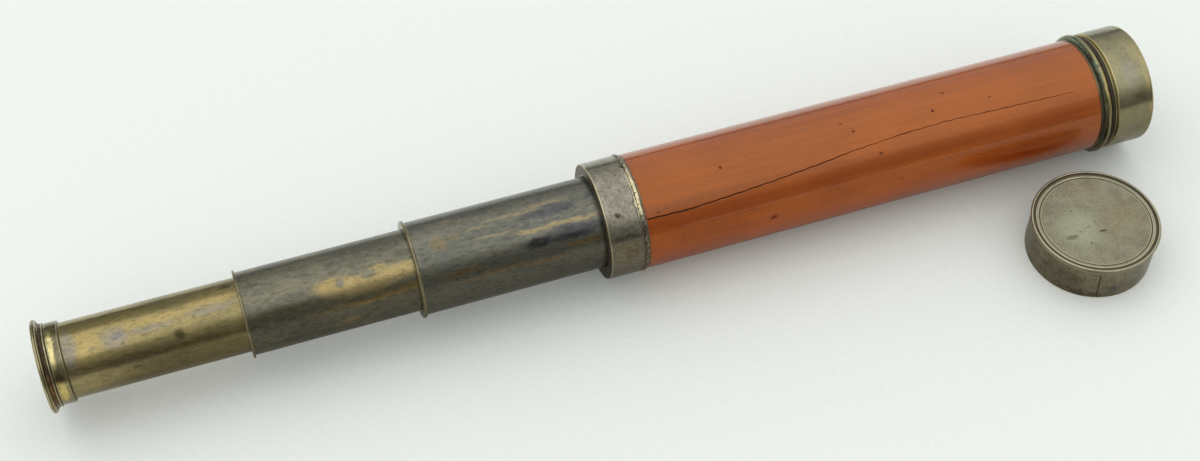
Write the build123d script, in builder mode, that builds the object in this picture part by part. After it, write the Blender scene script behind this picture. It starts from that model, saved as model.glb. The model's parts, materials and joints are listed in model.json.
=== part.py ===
from build123d import *
from math import asin, copysign, cos, sin
import os

# A three-draw hand telescope in brass with a mahogany barrel, partly drawn out and lying on its side,
# with its objective cap off and standing mouth down beside it. Sizes are in millimetres. +X runs from
# the eyepiece to the objective and +Z is up. The origin is under the middle of the whole object, on
# the surface that it lies on. A "station" is a distance along the telescope from the eyecup's rim.

# ---- Driving dimensions ----

# Outside radii along the telescope
eyecup_r = 19.5
eyepiece_r = 16.96
draw_r = {1: 15.73, 2: 17.54, 3: 19.85}
flange_r = {2: 18.74, 3: 20.98}
ferrule_r = 25.34
wood_r = 25.0
bead_r = 27.04
cell_r = 26.3

# Stations of the shoulders that show
eyepiece_end = 10.5
flange_start = {2: 82.0, 3: 153.6}
flange_width = {2: 1.0, 3: 1.4}
ferrule_start = 234.0
ferrule_end = 251.3
wood_end = 462.2
cell_start = 470.1
cell_end = 487.7

# Draw tubes
draw_wall = {1: 0.73, 2: 0.75, 3: 0.80}
draw_length = {1: 200.0, 2: 205.0, 3: 212.0}
guide_length = {2: 22.0, 3: 25.0}
collar_length = 8.0
sliding_fit = 0.05        # radial play of a draw in its guide
loose_play = 0.3          # radial play where a collar runs past a wall
joint_play = 0.02         # radial play of pieces that are screwed or soldered together

# Barrel
wood_bore_r = 22.0
wood_tenon_r = 24.3
barrel_guide_length = 28.0
spigot_length = 12.2
aperture_r = 20.3

# Objective
lens_r = 21.0
lens_bore_r = 21.1
cell_spigot_r = 23.0
recess_r = 24.6
recess_start = 477.0

# Eyepiece
plate_start = 8.0
plate_width = 1.2
plate_r = 15.7
eye_hole_r = 3.2
eyecup_bore_r = 15.2
shutter_pivot_offset = 10.0
shutter_open_angle = 55.0

# Cap
cap_along = 442.58        # station of the cap's middle
cap_away = 62.81          # from the telescope's axis to the cap's middle, sideways
cap_rim_r = 28.0
cap_skirt_r = 27.34
cap_bore_r = 26.5
cap_height = 19.34
cap_disc_thickness = 2.4

# ---- Planes and axes ----

axis_y = (cap_away + cap_rim_r - bead_r) / 2
axis_z = bead_r
start_x = -cell_end / 2

# A half profile is drawn on this plane: across is the station, up is the radius.
axial = Plane(origin=(start_x, axis_y, axis_z), x_dir=(1, 0, 0), z_dir=(0, -1, 0))
optical_axis = Axis((start_x, axis_y, axis_z), (1, 0, 0))

# The cap's half profile: across is the radius, up is the height.
cap_profile = Plane(origin=(start_x + cap_along, axis_y - cap_away, 0), x_dir=(1, 0, 0), z_dir=(0, -1, 0))
cap_axis = Axis(cap_profile.origin, (0, 0, 1))


def cross_plane(station):
    """The plane square to the telescope at a station: local X is sideways (+Y), local Y is up."""
    origin = (start_x + station, axis_y, axis_z)
    return Plane(origin=origin, x_dir=(0, 1, 0), z_dir=(1, 0, 0))


# ---- Shapes that repeat ----

def band(left, right, inner, outer):
    """Adds the half section of a plain ring to the sketch being drawn."""
    with Locations(((left + right) / 2, (inner + outer) / 2)):
        Rectangle(right - left, outer - inner)


def groove(left, right, inner, outer):
    """Cuts a square groove into the sketch being drawn."""
    with Locations(((left + right) / 2, (inner + outer) / 2)):
        Rectangle(right - left, outer - inner, mode=Mode.SUBTRACT)


def bead(station, radius, size):
    """Adds a half-round moulding, centred on a station and radius, to the sketch being drawn."""
    with Locations((station, radius)):
        Circle(size)


def turned_ring(left, right, inner, outer, edge=0.15):
    """A plain ring or tube on the telescope's axis, with its corners broken."""
    with BuildPart() as ring:
        with BuildSketch(axial) as section:
            band(left, right, inner, outer)
            chamfer(section.vertices(), edge)
        revolve(axis=optical_axis)
    return ring


def rim_arc(apex, edge, radius, outward):
    """The half section of a lens face, from the axis at apex to the rim, or back again."""
    if apex == edge:
        middle = None
    else:
        rise = edge - apex
        sphere_r = (radius**2 + rise**2) / (2 * abs(rise))
        half_angle = asin(radius / sphere_r) / 2
        middle = (apex + copysign(sphere_r * (1 - cos(half_angle)), rise), sphere_r * sin(half_angle))
    points = [(apex, 0), (edge, radius)]
    if not outward:
        points.reverse()
    if middle is None:
        Line(*points)
    else:
        ThreePointArc(points[0], middle, points[1])


def lens(left, left_edge, right_edge, right, radius):
    """A lens, from the stations of its two faces on the axis and at the rim."""
    with BuildPart() as glass:
        with BuildSketch(axial):
            with BuildLine():
                Line((left, 0), (right, 0))
                rim_arc(right, right_edge, radius, outward=True)
                Line((right_edge, radius), (left_edge, radius))
                rim_arc(left, left_edge, radius, outward=False)
            make_face()
        revolve(axis=optical_axis)
    return glass


def plano_convex(flat, bulge, edge, middle, radius):
    """A lens from the station of its flat face, its thickness at rim and middle, and +1 or -1 for its side."""
    if bulge > 0:
        return lens(flat, flat, flat + edge, flat + middle, radius)
    return lens(flat - middle, flat - edge, flat, flat, radius)


def radial_pins(station, radius, length, outer, first_angle, count=3):
    """Round pins set radially around the telescope, as separate solids."""
    with BuildPart(cross_plane(station)) as pins:
        with PolarLocations(outer - length / 2, count, first_angle):
            Cylinder(radius, length, rotation=(0, 90, 0))
    return pins


def bore_radius(number):
    """The inside radius of what draw tube number slides in."""
    if number == 3:
        return wood_bore_r
    return draw_r[number + 1] - draw_wall[number + 1]


def draw_tube(number, start):
    return turned_ring(start, start + draw_length[number], draw_r[number] - draw_wall[number], draw_r[number])


def stop_collar(number, start):
    """The collar on a draw tube's inner end, which stops it against the guide when it is pulled out."""
    end = start + draw_length[number]
    inner = draw_r[number] + joint_play
    return turned_ring(end - collar_length, end, inner, bore_radius(number) - loose_play)


def flanged_guide(number):
    """The sleeve in the eye end of draw number, which guides the next smaller draw."""
    left = flange_start[number]
    shoulder = left + flange_width[number]
    inner = draw_r[number - 1] + sliding_fit
    sleeve_r = draw_r[number] - draw_wall[number] - joint_play
    rounding = flange_width[number] * 0.35
    with BuildPart() as guide:
        with BuildSketch(axial) as section:
            band(left, shoulder, inner, flange_r[number])
            rim = section.vertices().group_by(Axis.Z)[-1]
            fillet(rim, rounding)
            band(left, shoulder + guide_length[number], inner, sleeve_r)
        revolve(axis=optical_axis)
    return guide


pieces = {}

# ---- Barrel ----

ferrule_face = 2.0            # thickness of the ferrule's front wall
guide_flange = 1.2            # thickness of the barrel guide's flange, behind that wall
rear_bead = 0.65              # half-round edge against the wood
wood_start = ferrule_start + ferrule_face + guide_flange
ferrule_hole_r = draw_r[3] + 0.35
rear_bead_sunk = 0.3          # how far the rear bead's centre lies inside the ferrule's surface

pin_station = 239.6
pin_r = 0.9
pin_length = 2.6
pin_first_angle = 127.2
edge_pin_station = 248.4
edge_pin_first_angle = 77.0

ferrule_pins = radial_pins(pin_station, pin_r, pin_length, ferrule_r, pin_first_angle)
edge_pins = radial_pins(edge_pin_station, pin_r, pin_length, ferrule_r, edge_pin_first_angle)

with BuildPart() as barrel_ferrule:
    with BuildSketch(axial) as section:
        band(ferrule_start, ferrule_end, wood_tenon_r + joint_play, ferrule_r)
        band(ferrule_start, ferrule_start + ferrule_face, ferrule_hole_r, ferrule_r)
        front_rim = section.vertices().group_by(Axis.Z)[-1].sort_by(Axis.X)[0]
        fillet(front_rim, 0.5)
        bead(ferrule_end - rear_bead, ferrule_r - rear_bead_sunk, rear_bead)
    revolve(axis=optical_axis)
    add(ferrule_pins.part, mode=Mode.SUBTRACT)
    add(edge_pins.part, mode=Mode.SUBTRACT)
pieces["barrel_ferrule"] = barrel_ferrule

with BuildPart() as barrel_wood:
    with BuildSketch(axial):
        band(wood_start, wood_end, wood_bore_r, wood_tenon_r)
        band(ferrule_end, wood_end, wood_tenon_r, wood_r)
    revolve(axis=optical_axis)
    add(ferrule_pins.part, mode=Mode.SUBTRACT)
    add(edge_pins.part, mode=Mode.SUBTRACT)
pieces["barrel_wood"] = barrel_wood

with BuildPart() as all_ferrule_pins:
    add(ferrule_pins.part)
    add(edge_pins.part)
pieces["ferrule_pins"] = all_ferrule_pins

with BuildPart() as barrel_guide:
    with BuildSketch(axial):
        flange_left = ferrule_start + ferrule_face
        band(flange_left, flange_left + barrel_guide_length, draw_r[3] + sliding_fit, wood_bore_r - joint_play)
        band(flange_left, wood_start, draw_r[3] + sliding_fit, wood_tenon_r - joint_play)
    revolve(axis=optical_axis)
pieces["barrel_guide"] = barrel_guide

# The objective mount: a fillet against the wood, a large bead, a groove and a fine bead
fillet_end = wood_end + 1.3
fillet_groove_width = 0.35
fillet_groove_depth = 0.4
large_bead = 465.5
large_bead_size = 1.6
fine_bead = 469.0
fine_bead_size = 0.75
mount_core_r = 25.6
screw_first_angle = 106.0
cell_spigot_start = 465.0
screw_r = 0.8
screw_length = 3.2
screw_head_r = bead_r - 0.1
slot_width = 0.35
slot_depth = 0.4

mount_screws = radial_pins(large_bead, screw_r, screw_length, screw_head_r, screw_first_angle)

with BuildPart() as objective_mount:
    with BuildSketch(axial):
        band(wood_end - spigot_length, wood_end, aperture_r, wood_bore_r - joint_play)
        band(wood_end, cell_start, aperture_r, mount_core_r)
        groove(cell_spigot_start, cell_start, aperture_r, cell_spigot_r)
        groove(fillet_end, fillet_end + fillet_groove_width, mount_core_r - fillet_groove_depth, mount_core_r)
        bead(large_bead, bead_r - large_bead_size, large_bead_size)
        bead(fine_bead, bead_r - fine_bead_size, fine_bead_size)
    revolve(axis=optical_axis)
    add(mount_screws.part, mode=Mode.SUBTRACT)
pieces["objective_mount"] = objective_mount

with BuildPart() as slotted_screws:
    add(mount_screws.part)
    with BuildPart(cross_plane(large_bead), mode=Mode.PRIVATE) as slots:
        with PolarLocations(screw_head_r - slot_depth / 2, 3, screw_first_angle):
            Box(slot_depth, slot_width, 2 * screw_r)
    add(slots.part, mode=Mode.SUBTRACT)
pieces["mount_screws"] = slotted_screws

# The objective cell screws into the mount and holds the two lenses
lens_seat = 466.5             # where the rear lens's rim rests
rear_lens_rim = 2.7
lens_joint = 470.6            # where the two lenses meet, on the axis
lens_gap = 0.05
front_lens_rim_end = 474.2
front_lens_face = 475.2
retaining_hole_r = 20.2
cell_edge_rounding = 1.0
with BuildPart() as objective_cell:
    with BuildSketch(axial) as section:
        band(cell_start, cell_end, lens_bore_r, cell_r)
        front_rim = section.vertices().group_by(Axis.Z)[-1].sort_by(Axis.X)[-1]
        fillet(front_rim, cell_edge_rounding)
        groove(recess_start, cell_end, lens_bore_r, recess_r)
        band(cell_spigot_start, cell_start, lens_bore_r, cell_spigot_r - joint_play)
        band(cell_spigot_start, lens_seat, aperture_r, cell_spigot_r - joint_play)
    revolve(axis=optical_axis)
pieces["objective_cell"] = objective_cell

rear_rim_end = lens_seat + rear_lens_rim
pieces["objective_rear_lens"] = lens(lens_seat + 0.4, lens_seat, rear_rim_end, lens_joint, lens_r)
pieces["objective_front_lens"] = lens(
    lens_joint + lens_gap, rear_rim_end + lens_gap, front_lens_rim_end, front_lens_face, lens_r)
pieces["objective_retaining_ring"] = turned_ring(
    front_lens_rim_end + lens_gap, recess_start, retaining_hole_r, lens_bore_r - joint_play)

# ---- Draws 3 and 2 ----

for number in (3, 2):
    tube_start = flange_start[number] + flange_width[number]
    pieces[f"draw_{number}_tube"] = draw_tube(number, tube_start)
    pieces[f"draw_{number}_guide"] = flanged_guide(number)
    pieces[f"draw_{number}_stop_collar"] = stop_collar(number, tube_start)

# ---- Draw 1, with the eyepiece and the erecting lenses ----

draw_1_start = plate_start + plate_width
draw_1_bore_r = draw_r[1] - draw_wall[1]
pieces["draw_1_tube"] = draw_tube(1, draw_1_start)
pieces["draw_1_stop_collar"] = stop_collar(1, draw_1_start)

# The eyecup flares to a rounded rim. A cove behind the rim runs down to a fine bead and a plain band.
rim_width = 3.0
cove_end = 5.0
cove_r = 17.2
with BuildPart() as eyepiece_housing:
    with BuildSketch(axial) as section:
        with BuildLine():
            flare = ThreePointArc((0.0, 18.3), (0.9, 19.2), (rim_width * 0.6, eyecup_r))
            rim = ThreePointArc(flare @ 1, (2.7, 19.3), (rim_width, 18.7))
            cove = ThreePointArc(rim @ 1, (3.4, 17.7), (cove_end, cove_r))
            Polyline(cove @ 1, (eyepiece_end, cove_r), (eyepiece_end, eyecup_bore_r), (3.0, eyecup_bore_r))
            ThreePointArc((3.0, eyecup_bore_r), (1.3, 16.0), (0.3, 17.6))
            Line((0.3, 17.6), (0.0, 18.3))
        make_face()
        groove(cove_end + 0.8, eyepiece_end - 0.9, eyepiece_r, cove_r + 1)
        groove(plate_start, eyepiece_end, eyecup_bore_r - 1, draw_r[1] + joint_play)
    revolve(axis=optical_axis)
pieces["eyepiece_housing"] = eyepiece_housing

# The eye plate closes the eyecup's floor, round the eye hole
pivot_r = 0.9
pivot_head_r = 1.8
pivot_head_height = 0.7
leaf_thickness = 0.75
leaf_gap = 0.05
leaf_front = plate_start - leaf_gap - leaf_thickness
with BuildPart(cross_plane(plate_start)) as eye_plate:
    Cylinder(plate_r, plate_width, align=(Align.CENTER, Align.CENTER, Align.MIN))
    Cylinder(eye_hole_r, plate_width, align=(Align.CENTER, Align.CENTER, Align.MIN), mode=Mode.SUBTRACT)
    with Locations((0, shutter_pivot_offset, 0)):
        Cylinder(pivot_r + joint_play, plate_width, align=(Align.CENTER, Align.CENTER, Align.MIN),
                 mode=Mode.SUBTRACT)
    rear_edges = eye_plate.edges().filter_by(GeomType.CIRCLE).group_by(Axis.X)[0].sort_by(SortBy.RADIUS)
    chamfer(rear_edges[1], 0.4)
pieces["eye_plate"] = eye_plate

with BuildPart(cross_plane(leaf_front - leaf_gap)) as shutter_pivot:
    with Locations((0, shutter_pivot_offset, 0)):
        Cylinder(pivot_r, leaf_thickness + 2 * leaf_gap + plate_width,
                 align=(Align.CENTER, Align.CENTER, Align.MIN))
        Cylinder(pivot_head_r, pivot_head_height, align=(Align.CENTER, Align.CENTER, Align.MAX))
    head_face = shutter_pivot.faces().sort_by(Axis.X)[0]
    fillet(head_face.edges(), 0.3)
    with Locations((0, shutter_pivot_offset, -pivot_head_height)):
        Box(2 * pivot_head_r, 0.4, 0.3, align=(Align.CENTER, Align.CENTER, Align.MIN), mode=Mode.SUBTRACT)
pieces["shutter_pivot"] = shutter_pivot

# The dust shutter swings on that pivot. It is built swung open, clear of the eye hole.
leaf_r = 4.4
leaf_arm_width = 4.2
knob_r = 1.1
knob_height = 1.5
with BuildPart(cross_plane(leaf_front)) as shutter_leaf:
    with BuildSketch(cross_plane(leaf_front)):
        with Locations(Location((0, shutter_pivot_offset), -shutter_open_angle)):
            with Locations((0, -shutter_pivot_offset)):
                Circle(leaf_r)
            with Locations((0, -shutter_pivot_offset / 2)):
                Rectangle(leaf_arm_width, shutter_pivot_offset)
            Circle(leaf_arm_width / 2)
            Circle(pivot_r + sliding_fit, mode=Mode.SUBTRACT)
    extrude(amount=leaf_thickness)
pieces["shutter_leaf"] = shutter_leaf

knob_reach = shutter_pivot_offset + 2.2
with BuildPart(cross_plane(leaf_front)) as shutter_knob:
    with Locations(Location((0, shutter_pivot_offset, 0), (0, 0, -shutter_open_angle))):
        with Locations((0, -knob_reach, 0)):
            Cylinder(knob_r, knob_height, align=(Align.CENTER, Align.CENTER, Align.MAX))
    knob_face = shutter_knob.faces().sort_by(Axis.X)[0]
    fillet(knob_face.edges(), 0.4)
pieces["shutter_knob"] = shutter_knob

# The ocular tube carries the eye lens and the field lens behind the eye plate
ocular_r = 11.5
ocular_bore_r = 10.8
ocular_end = 50.0
ocular_flange_width = 2.0
ring_width = 2.0
stop_width = 1.2
eye_lens_flat = 14.0
field_stop_start = 28.0
field_lens_flat = 42.0
field_lens_rim = 1.2
field_lens_middle = 3.6
with BuildPart() as ocular_tube:
    with BuildSketch(axial):
        band(draw_1_start, ocular_end, ocular_bore_r, ocular_r)
        band(draw_1_start, draw_1_start + ocular_flange_width, ocular_bore_r, draw_1_bore_r - joint_play)
    revolve(axis=optical_axis)
pieces["ocular_tube"] = ocular_tube

small_lens_r = ocular_bore_r - joint_play
pieces["eye_lens_seat"] = turned_ring(eye_lens_flat - ring_width, eye_lens_flat, 8.6, small_lens_r)
pieces["eye_lens"] = plano_convex(eye_lens_flat, 1, 1.6, 4.2, small_lens_r)
pieces["ocular_field_stop"] = turned_ring(field_stop_start, field_stop_start + stop_width, 6.5, small_lens_r)
pieces["field_lens"] = plano_convex(field_lens_flat, 1, field_lens_rim, field_lens_middle, small_lens_r)
field_ring_start = field_lens_flat + field_lens_middle + 0.2
pieces["field_lens_ring"] = turned_ring(field_ring_start, field_ring_start + ring_width, 9.4, small_lens_r)

# The erecting cartridge sits in the inner end of draw 1
erector_r = 12.5
erector_bore_r = 11.8
erector_start = 138.0
erector_end = 204.0
erector_mount_length = 6.0
erector_stop_start = 164.0
erector_ring_hole_r = 9.8
pinhole_r = 2.4
rear_flat = 143.6             # the rear lens bulges towards the eye
front_flat = 197.0            # the front lens bulges towards the objective
erector_lens_rim = 1.6
rear_middle = 2.6
front_middle = 3.0
erector_lens_r = erector_bore_r - joint_play
pieces["erector_tube"] = turned_ring(erector_start, erector_end, erector_bore_r, erector_r)
with BuildPart() as erector_mount:
    with BuildSketch(axial):
        mount_start = erector_end - erector_mount_length
        band(mount_start, erector_end, erector_r + joint_play, draw_1_bore_r - joint_play)
    revolve(axis=optical_axis)
pieces["erector_mount"] = erector_mount
pieces["erector_rear_lens"] = plano_convex(rear_flat, -1, erector_lens_rim, rear_middle, erector_lens_r)
pieces["erector_rear_ring"] = turned_ring(
    rear_flat, rear_flat + ring_width, erector_ring_hole_r, erector_lens_r)
pieces["erector_stop"] = turned_ring(
    erector_stop_start, erector_stop_start + stop_width, pinhole_r, erector_lens_r)
pieces["erector_front_lens"] = plano_convex(front_flat, 1, erector_lens_rim, front_middle, erector_lens_r)
front_ring_start = front_flat + front_middle + 0.6
pieces["erector_front_ring"] = turned_ring(
    front_ring_start, front_ring_start + ring_width, erector_ring_hole_r, erector_lens_r)

# ---- Cap ----

disc_bottom = cap_height - cap_disc_thickness
with BuildPart() as cap_skirt:
    with BuildSketch(cap_profile) as section:
        with Locations(((cap_bore_r + cap_skirt_r) / 2, disc_bottom / 2)):
            Rectangle(cap_skirt_r - cap_bore_r, disc_bottom)
        fillet(section.vertices().group_by(Axis.Z)[0], 0.25)
    revolve(axis=cap_axis)
pieces["cap_skirt"] = cap_skirt

# The disc's rim is a double bead. Inside it are a dark groove, a flat ring and a fine line.
rim_bead = 0.6
rim_bead_pitch = 1.95 * rim_bead
disc_top = cap_height - 0.45
plate_thickness = 1.1
groove_r = 26.2
groove_width = 0.8
groove_depth = 0.5
line_r = 24.6
line_width = 0.35
line_depth = 0.25
with BuildPart() as cap_disc:
    with BuildSketch(cap_profile):
        with Locations((0, disc_bottom)):
            Rectangle(cap_rim_r - rim_bead, disc_top - disc_bottom, align=(Align.MIN, Align.MIN))
            Rectangle(cap_bore_r, disc_top - plate_thickness - disc_bottom, align=(Align.MIN, Align.MIN),
                      mode=Mode.SUBTRACT)
        with Locations((cap_rim_r - rim_bead, cap_height - rim_bead),
                       (cap_rim_r - rim_bead, cap_height - rim_bead - rim_bead_pitch)):
            Circle(rim_bead)
        with Locations((groove_r, disc_top)):
            Rectangle(groove_width, 2 * groove_depth, mode=Mode.SUBTRACT)
        with Locations((line_r, disc_top)):
            Rectangle(line_width, 2 * line_depth, mode=Mode.SUBTRACT)
    revolve(axis=cap_axis)
pieces["cap_disc"] = cap_disc

# ---- Export ----

os.makedirs("parts", exist_ok=True)
for name, piece in pieces.items():
    piece.part.label = name
    export_step(piece.part, f"parts/{name}.step")
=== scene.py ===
import json
import math

import bmesh
import bpy
import numpy as np
from mathutils import Euler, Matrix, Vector, noise


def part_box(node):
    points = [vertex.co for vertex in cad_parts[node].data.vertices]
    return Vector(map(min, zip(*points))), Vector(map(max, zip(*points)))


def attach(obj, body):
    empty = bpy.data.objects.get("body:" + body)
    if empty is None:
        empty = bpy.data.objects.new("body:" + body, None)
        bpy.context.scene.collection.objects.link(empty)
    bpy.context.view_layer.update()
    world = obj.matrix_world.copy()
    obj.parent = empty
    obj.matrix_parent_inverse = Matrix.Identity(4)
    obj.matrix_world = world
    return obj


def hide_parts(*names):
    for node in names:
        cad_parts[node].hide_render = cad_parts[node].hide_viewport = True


# The looks of a three-draw hand telescope: turned pieces with worn profiles and procedural patina,
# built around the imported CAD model. Outlines are in millimetres; the scene is in metres.

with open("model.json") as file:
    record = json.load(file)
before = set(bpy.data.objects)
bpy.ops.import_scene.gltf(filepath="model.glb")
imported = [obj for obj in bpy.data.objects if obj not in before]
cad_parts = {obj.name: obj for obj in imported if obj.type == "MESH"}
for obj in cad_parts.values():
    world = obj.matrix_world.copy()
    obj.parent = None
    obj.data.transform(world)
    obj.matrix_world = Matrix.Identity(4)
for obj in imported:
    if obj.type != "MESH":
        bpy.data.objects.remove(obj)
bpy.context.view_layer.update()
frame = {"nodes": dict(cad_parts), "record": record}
nodes = frame["nodes"]

MM = 0.001
SKY_LIGHT = 0.96      # how bright the sky is to matt surfaces
SLIDING_FIT = 0.05    # radial play of a draw in its guide, in millimetres
NEAR_CARD_Y = -0.55   # where the card on the near side stands, in metres


def box_mm(node):
    """A CAD node's left end, right end and outside radius, in millimetres."""
    low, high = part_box(node)
    return low.x / MM, high.x / MM, (high.z - low.z) / 2 / MM


wood_low, wood_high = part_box("barrel_wood")
AXIS_Y = (wood_low.y + wood_high.y) / 2
AXIS_Z = (wood_low.z + wood_high.z) / 2
EYE_END = box_mm("eyepiece_housing")[0]
cap_low, cap_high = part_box("cap_skirt")
CAP_X, CAP_Y = (cap_low.x + cap_high.x) / 2, (cap_low.y + cap_high.y) / 2
CAP_RADIUS = (cap_high.x - cap_low.x) / 2 / MM
CAP_WALL = 0.84       # thickness of the cap's skirt, in millimetres


def station(along):
    """The x, in millimetres, of a place along the telescope, measured from the eyecup's rim."""
    return EYE_END + along


# ---- Outlines and turned meshes ----

class Outline:
    """A half profile in millimetres, drawn with straight runs and arcs.

    x is along the axis, and r out from it.
    """

    def __init__(self, x, r):
        self.points = [(x, r)]

    def to(self, x, r):
        self.points.append((x, r))
        return self

    def arc(self, x, r, bulge, steps=8):
        """A round stretch to (x, r). On a run towards +x a bulge above 0 is proud, below 0 hollow."""
        x0, r0 = self.points[-1]
        dx, dr = x - x0, r - r0
        length = math.hypot(dx, dr)
        for step in range(1, steps + 1):
            t = step / steps
            rise = 4 * bulge * t * (1 - t) / length
            self.points.append((x0 + dx * t - dr * rise, r0 + dr * t + dx * rise))
        return self

    def softened(self, radius, steps=3):
        """The closed outline with every sharp corner worn round."""
        points = [Vector(p) for p in self.points]
        result = []
        for index, here in enumerate(points):
            before, after = points[index - 1], points[(index + 1) % len(points)]
            way_in, way_out = here - before, after - here
            turn = way_in.angle(way_out, 0)
            if turn < math.radians(28):
                result.append(tuple(here))
                continue
            cut = min(radius, 0.4 * way_in.length, 0.4 * way_out.length)
            start = here - way_in.normalized() * cut
            end = here + way_out.normalized() * cut
            for step in range(steps + 1):
                t = step / steps
                result.append(tuple((1 - t) ** 2 * start + 2 * t * (1 - t) * here + t * t * end))
        return result


def subdivided(points, step, near=0.3):
    """A closed outline with no run longer than step, and a point near both ends of each long run."""
    result = []
    for index, (x0, r0) in enumerate(points):
        x1, r1 = points[(index + 1) % len(points)]
        length = math.hypot(x1 - x0, r1 - r0)
        places = [0.0]
        if length > 3 * near:
            inner = length - 2 * near
            places += list(near + np.linspace(0, inner, math.ceil(inner / step) + 1))
        result += [(x0 + (x1 - x0) * d / length, r0 + (r1 - r0) * d / length) for d in places]
    return result


def edge_wear(outline, reach=0.45):
    """For each point of a closed outline, how proud (up to 1) or how sunk (down to -1) it is."""
    points = np.array(outline + outline[:1])
    travel = np.concatenate([[0], np.cumsum(np.hypot(*np.diff(points, axis=0).T))])

    def at(distance):
        place = np.mod(distance, travel[-1])
        return np.stack([np.interp(place, travel, points[:, k]) for k in (0, 1)], axis=-1)

    before, here, after = (at(travel[:-1] + step) for step in (-reach, 0, reach))
    run = after - before
    normal = np.stack([-run[:, 1], run[:, 0]], axis=-1) / (np.linalg.norm(run, axis=1)[:, None] + 1e-9)
    return np.clip(2.4 * np.sum((here - (before + after) / 2) * normal, axis=1) / reach, -1, 1)


def unrolled_faces(outline, angles, reference):
    """The faces of a turned mesh, and the UV of each corner: metres along, and metres around."""
    count, columns = len(outline), len(angles[0])
    along = [x * MM for x, _ in outline]
    around = [[math.radians(a - 90) * reference * MM for a in (*row, row[0] + 360)] for row in angles]
    faces, corners_uv = [], []
    for column in range(columns):
        for index in range(count):
            after = (index + 1) % count
            corners = [(column, index), (column, after), (column + 1, after), (column + 1, index)]
            faces.append([(c % columns) * count + i for c, i in corners])
            corners_uv += [(along[i], around[i][c]) for c, i in corners]
    return faces, corners_uv


def turned(name, outline, body, replaces, finish, turns=192, relief=None, stain_and_painted_light=None, offsets=None,
           upright=None):
    """Turns a closed outline into a mesh with an unrolled UV map in metres: along, and around.

    Angles are in degrees about the telescope's axis from +Y towards +Z, or for an upright piece about
    its own vertical axis from +X towards +Y. relief(x, angle, r) gives how far a point stands proud, in
    millimetres, and stain(x, angle, r) from -1 for dirt and painted shade to 1 for rubbed bright metal and
    painted highlights. offsets are the angles of the columns plus 90, or a function of x that gives them.
    """
    if offsets is None:
        offsets = np.arange(turns) * 360 / turns
    angles = [offsets(x) if callable(offsets) else offsets for x, _ in outline]
    edges = edge_wear(outline)
    vertices, wear_and_painted_light = [], []
    for column in range(len(angles[0])):
        for index, (x, r) in enumerate(outline):
            angle = angles[index][column] - 90
            radius = r + (relief(x, angle, r) if relief else 0)
            wear_and_painted_light.append((edges[index] if r > 1 else 0) + (stain_and_painted_light(x, angle, r) if stain_and_painted_light else 0))
            c, s = math.cos(math.radians(angle)), math.sin(math.radians(angle))
            if upright is None:
                vertices.append((x * MM, AXIS_Y + radius * c * MM, AXIS_Z + radius * s * MM))
            else:
                vertices.append((upright[0] + radius * c * MM, upright[1] + radius * s * MM, x * MM))
    faces, corners_uv = unrolled_faces(outline, angles, max(r for _, r in outline))
    mesh = bpy.data.meshes.new(name)
    mesh.from_pydata(vertices, [], faces)
    mesh.attributes.new("wear_and_painted_light", "FLOAT", "POINT").data.foreach_set("value", wear_and_painted_light)
    mesh.uv_layers.new(name="unrolled").data.foreach_set("uv", np.array(corners_uv).ravel())
    work = bmesh.new()
    work.from_mesh(mesh)
    bmesh.ops.remove_doubles(work, verts=work.verts, dist=1e-7)
    bmesh.ops.recalc_face_normals(work, faces=work.faces)
    work.to_mesh(mesh)
    work.free()
    mesh.shade_smooth()
    mesh.set_sharp_from_angle(angle=math.radians(32))
    mesh.materials.append(finish)
    piece = bpy.data.objects.new(name, mesh)
    bpy.context.scene.collection.objects.link(piece)
    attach(piece, body)
    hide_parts(*replaces)


def columns_along(line, radius, widths, others):
    """Columns that follow a line down a turned piece, close together beside it. line(x) is its angle.

    The first column, where the unrolled map ends, is well away from the line.
    """
    near = [math.degrees(w / radius) for w in (*(-w for w in reversed(widths)), 0.0, *widths)]
    rest = np.linspace(near[-1], 360 + near[0], others + 2)[1:-1]
    first = int(np.argmax(rest > 150))
    around = np.array([*(rest[first:] - 360), *near, *rest[:first]])
    return lambda x: around + line(x) + 90


def arc_from(line, x, angle, radius):
    """The distance around a turned piece from a line down it, in millimetres."""
    return math.radians((angle - line(x) + 180) % 360 - 180) * radius


def wobble(x, angle, size, seed, reach=1.0):
    """Smooth noise between about -1 and 1 over a turned surface. reach stretches it along the axis."""
    a = math.radians(angle)
    radius = 20.0
    point = Vector((x / reach, radius * math.cos(a), radius * math.sin(a))) / size
    return noise.noise(point + Vector((seed * 7.3, seed * 3.1, seed * 5.7)))


# ---- Materials ----

def paint(red, green, blue):
    """A colour given as 0 to 255 sRGB values, as the shader's linear colour."""
    values = [v / 255 for v in (red, green, blue)]
    linear = [v / 12.92 if v <= 0.04045 else ((v + 0.055) / 1.055) ** 2.4 for v in values]
    return (*linear, 1.0)


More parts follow.
